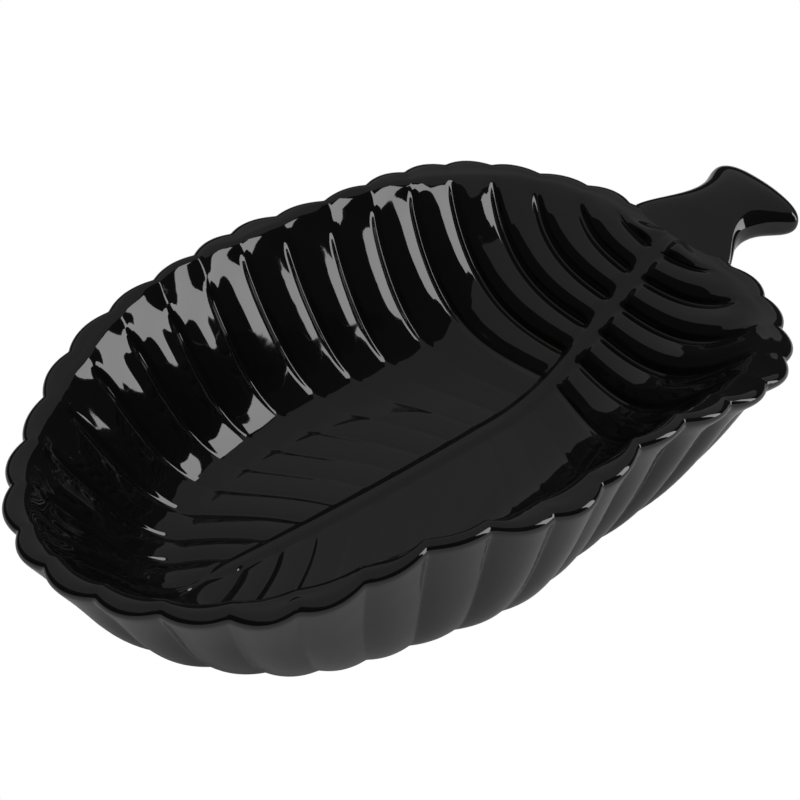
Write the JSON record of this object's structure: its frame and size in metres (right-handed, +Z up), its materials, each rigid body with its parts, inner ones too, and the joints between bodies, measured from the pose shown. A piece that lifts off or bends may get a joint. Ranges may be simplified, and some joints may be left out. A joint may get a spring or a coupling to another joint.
{
  "type": "leaf-shaped serving bowl",
  "caption": "Deep oval serving bowl in the shape of a leaf, with a fluted wall, scalloped waving rim, raised midrib and a stub stem handle.",
  "frame": {"origin": "on the resting plane, under the middle of the overall length and width", "axes": "+X along the midrib towards the stem, +Y to the left of it, +Z up"},
  "size_m": [0.3676, 0.2196, 0.0863],
  "materials": {
    "black_glaze": "high gloss black glaze",
    "bare_clay": "unglazed, ground flat"
  },
  "bodies": {
    "root": {"leaf_bowl": "black_glaze", "stem_handle": "black_glaze", "foot_ring": "bare_clay"}
  },
  "joints": []
}
